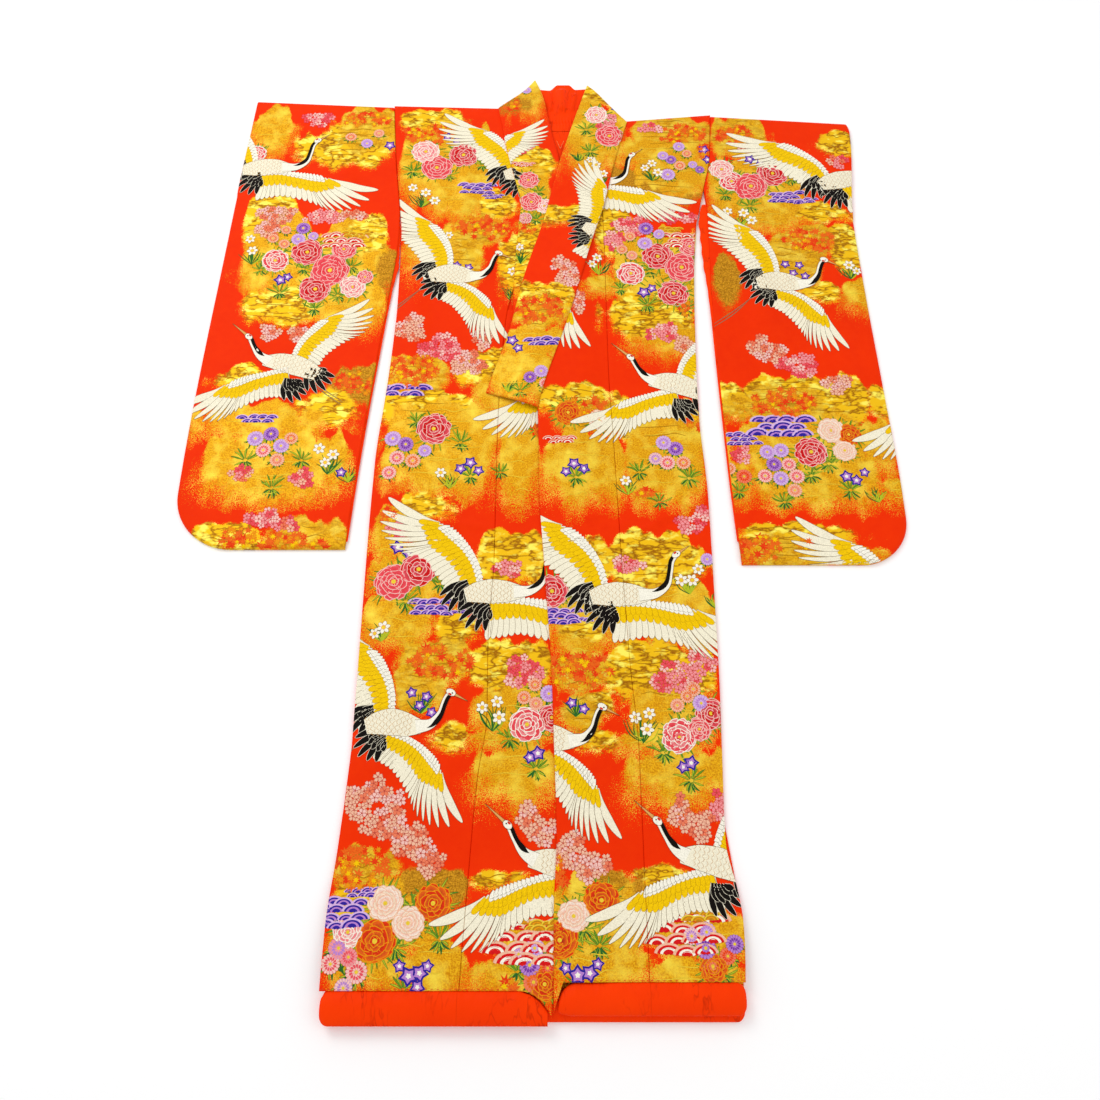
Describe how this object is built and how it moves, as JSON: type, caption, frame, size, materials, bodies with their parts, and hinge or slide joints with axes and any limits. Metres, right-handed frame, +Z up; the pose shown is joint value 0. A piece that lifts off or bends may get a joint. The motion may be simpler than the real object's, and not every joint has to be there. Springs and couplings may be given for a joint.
{
  "type": "uchikake wedding kimono laid flat",
  "caption": "Padded over-kimono laid flat with fronts crossed left over right, hanging sleeves, crossed collar bands and a padded rolled hem.",
  "frame": {"origin": "on the floor, under the middle of the garment's box", "axes": "+Y from the hem to the collar, +Z up from the floor, +X to the wearer's left"},
  "size_m": [1.3464, 1.922, 0.0269],
  "materials": {
    "brocade": "vermilion silk satin ground with woven cranes, flowers and gold thread",
    "lining": "plain vermilion silk lining, soft sheen"
  },
  "bodies": {
    "root": {"body_left": "brocade", "body_right": "brocade", "okumi_left": "brocade", "okumi_right": "brocade", "collar_left": "brocade", "collar_left_end": "brocade", "collar_right": "brocade", "collar_back": "lining", "neck_lining": "lining", "sleeve_left": "brocade", "sleeve_right": "brocade", "sleeve_lining_left": "lining", "sleeve_lining_right": "lining", "hem_roll_back": "lining", "hem_roll_left": "lining", "hem_roll_left_okumi": "lining", "hem_roll_right": "lining", "hem_roll_right_okumi": "lining"}
  },
  "joints": []
}
